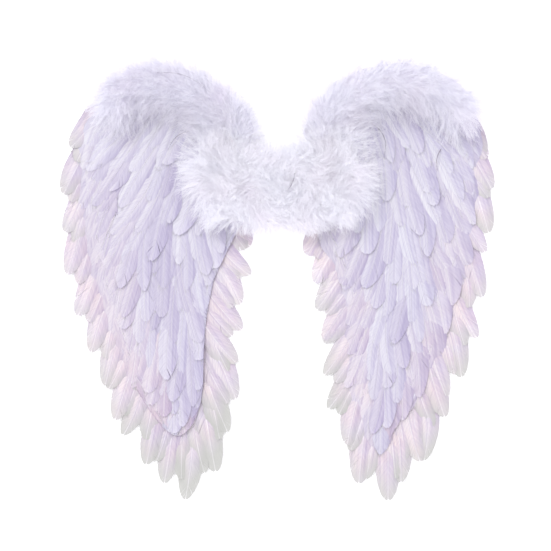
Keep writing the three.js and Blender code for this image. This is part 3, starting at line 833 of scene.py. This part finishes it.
def arm_comb(mirror):
    """Along the shoulder's cord and away from it, longer where the down hangs over the face feathers."""
    cord = ARM_CORDS[:, :2] if mirror > 0 else ARM_CORDS[:, 2:] * [-1, 1]
    middles = (cord[1:] + cord[:-1]) / 2
    runs = unit(cord[1:] - cord[:-1])
    inward = np.column_stack([runs[:, 1], -runs[:, 0]]) * mirror

    def comb(spots):
        offsets = spots[:, None, :2] - middles[None]
        nearest = np.argmin(np.linalg.norm(offsets, axis=2), axis=1)
        offset = offsets[np.arange(len(spots)), nearest]
        over_face = np.einsum("ij,ij->i", offset, inward[nearest]) / ARM_HALF_WIDTH
        brushed = 0.55 * runs[nearest] + 0.5 * offset / ARM_HALF_WIDTH
        hanging = np.clip(over_face, 0, 1)
        return np.column_stack([brushed, -0.3 * hanging]), 1 + 1.4 * hanging

    return comb


def panel_comb(spots):
    """Away from the panel's middle, turned this way and that, and longer over the wings' inner feathers."""
    up = (spots[:, 1] - PANEL_MIDDLE) / (50 * MM)
    out = spots[:, 0] / (100 * MM)
    sideways = 0.6 * out + 0.7 * np.sin(spots[:, 1] / PANEL_TURN + 2 * out)
    upward = 0.8 * np.clip(up, -1, 1) + 0.7 * np.cos(spots[:, 0] / PANEL_TURN)
    brushed = np.column_stack([sideways, upward, np.zeros(len(spots))])
    return brushed, 1 + 0.7 * np.clip(np.abs(out) - 0.6, 0, 0.4) / 0.4


down = marabou_down()
above = ((0, CORE_SEAM, 0), (0, 1, 0))
below = ((0, CORE_SEAM, 0), (0, -1, 0))
DOWN_PIECES = {  # the cuts that leave each length of marabou, its comb, its dye, its painted shade at the barbs' roots, its plumes' pieces
    "shoulder_marabou_right": ([below, ((0, 0, 0), (-1, 0, 0))], arm_comb(1), 0.5, 0.5, {"plumes": 0}),
    "shoulder_marabou_left": ([below, ((0, 0, 0), (1, 0, 0))], arm_comb(-1), 0.75, 0.65, {"plumes": 0}),
    "centre_marabou": ([above], panel_comb, 0.08, 0.12, {"plumes_right": 1, "plumes_left": -1}),
}
body = down_body()
for node, (cuts, comb, dyed, painted_root_shade, fields) in DOWN_PIECES.items():
    # The core gets twice the plumes' painted root shade, painted shade where it shows between the plumes.
    pieces = [cut_core(f"{node}_core", body, cuts, min(1, 2 * painted_root_shade))]
    for field, side in fields.items():
        seeded = np.random.default_rng(len(node) + 30 + side)
        pieces.append(plume_field(f"{node}_{field}", pieces[0], comb, dyed, painted_root_shade, side, seeded))
    for piece in pieces:
        paint(piece, down)
        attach(piece, "root")
        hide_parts(node)
bpy.data.objects.remove(body)


# Loose quills
# Bare quills of stray plumes that caught in the down and between the feathers, with a few short barbs left on
# them. Most are pale, and a few from darker birds show as thin dark lines.
QUILL_RADIUS = 0.65 * MM  # at the foot
QUILL_POINTS = 14
QUILL_BARBS = 16
QUILL_HIGHEST = 50 * MM
QUILL_CLEAR = 6 * MM  # above the body of the down, on top of its plumes
QUILLS = [  # foot and tip on the wings, how far the middle bows sideways, and whether it is dark
    (-165, 281, -93, 254, 9, True),
    (-73, 206, -44, 164, -2, False),
    (-73, 196, -62, 178, 3, False),
    (22, 144, 9, 118, 3, True),
    (58, 124, 62, 96, -4, False),
    (128, 216, 146, 168, 9, True),
    (-122, 205, -152, 180, -5, True),
    (224, 179, 220, 150, -4, True),
]


def quill_horn(name, colour):
    """Bare quill: smooth horn, a little glossy, uneven in colour along its length."""
    material, tree = new_material(name)
    place = add_node(tree, "ShaderNodeTexCoord").outputs["Object"]
    noise = add_node(tree, "ShaderNodeTexNoise", {"Scale": 120, "Detail": 2}, Vector=place)
    uneven = blend(tree, "MULTIPLY", noise.outputs["Fac"], linear(colour), linear("CFC8D2"))
    shader = add_node(
        tree,
        "ShaderNodeBsdfPrincipled",
        {"Roughness": 0.35},
        Base_Color=uneven,
        Normal=bump_of(tree, noise.outputs["Fac"], 0.2, 0.1 * MM),
    )
    add_node(tree, "ShaderNodeOutputMaterial", Surface=shader.outputs["BSDF"])
    return material


def surface_height(x, y, tops):
    """The highest point of the given pieces under x, y."""
    heights = [0]
    for piece in tops:
        hit, spot, _, _ = piece.ray_cast((x, y, 0.2), (0, 0, -1))
        if hit:
            heights.append(spot.z)
    return max(heights)


def loose_quill(name, foot, tip, bow, tops, rng):
    """A thin tapered tube of three sides that lies on the pieces under it, with short barbs along it."""
    across = unit(np.array([[foot[1] - tip[1], tip[0] - foot[0]]]))[0]
    share = np.linspace(0, 1, QUILL_POINTS)
    flat = np.outer(1 - share, foot) + np.outer(share, tip) + np.outer(bow * np.sin(np.pi * share), across)
    heights = np.array([surface_height(x, y, tops) for x, y in flat])
    smooth = np.poly1d(np.polyfit(share, heights, 2))(share)
    heights = np.maximum(smooth, heights) + QUILL_CLEAR * np.sin(np.pi * np.clip(share, 0.08, 0.92))
    line = np.column_stack([flat, np.minimum(heights, QUILL_HIGHEST)])
    points, faces = [], []
    for i, spot in enumerate(line):
        for turn in (0, 2.1, 4.2):
            around = np.append(across * math.cos(turn), math.sin(turn))
            points.append(spot + around * QUILL_RADIUS * (1 - 0.75 * share[i]))
        if i:
            for j, k in ((0, 1), (1, 2), (2, 0)):
                faces.append((3 * i - 3 + j, 3 * i - 3 + k, 3 * i + k, 3 * i + j))
    faces += [(2, 1, 0), (3 * QUILL_POINTS - 3, 3 * QUILL_POINTS - 2, 3 * QUILL_POINTS - 1)]
    for _ in range(QUILL_BARBS):
        root = line[rng.integers(3, QUILL_POINTS)]
        side = rng.choice((-1, 1))
        ahead = np.append(tip - foot, 0) / np.linalg.norm(tip - foot)
        reach = rng.uniform(2, 5) * MM
        end = root + reach * (0.8 * ahead + 0.5 * side * np.append(across, rng.normal(0, 0.3)))
        first = len(points)
        points += [root - 0.3 * MM * ahead, root + 0.3 * MM * ahead, end]
        faces.append((first, first + 1, first + 2)[:: int(-side)])
    mesh = bpy.data.meshes.new(name)
    mesh.from_pydata([tuple(p) for p in points], [], faces)
    piece = bpy.data.objects.new(name, mesh)
    bpy.context.scene.collection.objects.link(piece)
    return piece


bpy.context.view_layer.update()
tops = [piece for piece in bpy.data.objects if piece.name.endswith("_core") or "feathers_" in piece.name]
tops = [piece for piece in tops if not piece.hide_render]
pale_horn = quill_horn("pale_quill_horn", "FDFCFB")
dark_horn = quill_horn("dark_quill_horn", "8E8492")
for i, (x0, y0, x1, y1, bow, dark) in enumerate(QUILLS):
    foot, tip = np.array([x0, y0]) * MM, np.array([x1, y1]) * MM
    quill = loose_quill(f"loose_quill_{i + 1}", foot, tip, bow * MM, tops, np.random.default_rng(50 + i))
    paint(quill, dark_horn if dark else pale_horn)
    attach(quill, "root")


# Shoulder straps
# Two loops of flat white elastic, braided from covered rubber threads. Both ends of each are sewn to the back
# of its board beside the panel, and the loop lies folded flat under the wing.
def woven_elastic():
    """Braided elastic: matte, with fine ribs along the band."""
    material, tree = new_material("woven_elastic")
    place = add_node(tree, "ShaderNodeTexCoord").outputs["Object"]
    ribs = add_node(tree, "ShaderNodeTexWave", {"Scale": 180, "bands_direction": "Y"}, Vector=place)
    weft = add_node(tree, "ShaderNodeTexWave", {"Scale": 320, "bands_direction": "X"}, Vector=place)
    height = add_node(tree, "ShaderNodeMath", {"operation": "ADD"})
    tree.links.new(ribs.outputs["Fac"], height.inputs[0])
    tree.links.new(weft.outputs["Fac"], height.inputs[1])
    colour = blend(tree, "MIX", ribs.outputs["Fac"], linear("DEDCE2"), linear("F7F6F8"))
    shader = add_node(
        tree,
        "ShaderNodeBsdfPrincipled",
        {"Roughness": 0.85},
        Base_Color=colour,
        Normal=bump_of(tree, height.outputs["Value"], 0.6, 0.3 * MM),
    )
    add_node(tree, "ShaderNodeOutputMaterial", Surface=shader.outputs["BSDF"])
    return material


elastic = woven_elastic()
for wing in SIDES:
    paint(nodes[f"shoulder_strap_{wing}"], elastic)


# Table and light
# White paper lies under the wings. A broad soft light comes from the upper left and the rest from all round.
TABLE_HALF = 3

bpy.ops.object.select_all(action="DESELECT")
bpy.ops.mesh.primitive_plane_add(size=2 * TABLE_HALF)
table = bpy.context.object
table.name = "white_paper"
paper, tree = new_material("white_paper")
shader = add_node(tree, "ShaderNodeBsdfPrincipled", {"Roughness": 0.9, "Specular IOR Level": 0.1})
shader.inputs["Base Color"].default_value = linear("FDFDFE")
shader.inputs["Emission Color"].default_value = (1, 1, 1, 1)
shader.inputs["Emission Strength"].default_value = 0.12
add_node(tree, "ShaderNodeOutputMaterial", Surface=shader.outputs["BSDF"])
paint(table, paper)

key_data = bpy.data.lights.new("key_light", "SUN")
key_data.energy = 0.95
key_data.angle = math.radians(18)
key = bpy.data.objects.new("key_light", key_data)
key.rotation_euler = Vector((-0.7, 0.7, 1.3)).to_track_quat("Z", "Y").to_euler()
bpy.context.scene.collection.objects.link(key)

world = bpy.data.worlds.new("white_room")
world.use_nodes = True
world.node_tree.nodes["Background"].inputs["Color"].default_value = (0.985, 0.98, 1, 1)
world.node_tree.nodes["Background"].inputs["Strength"].default_value = 1.24
bpy.context.scene.world = world
bpy.context.scene.view_settings.view_transform = "Standard"
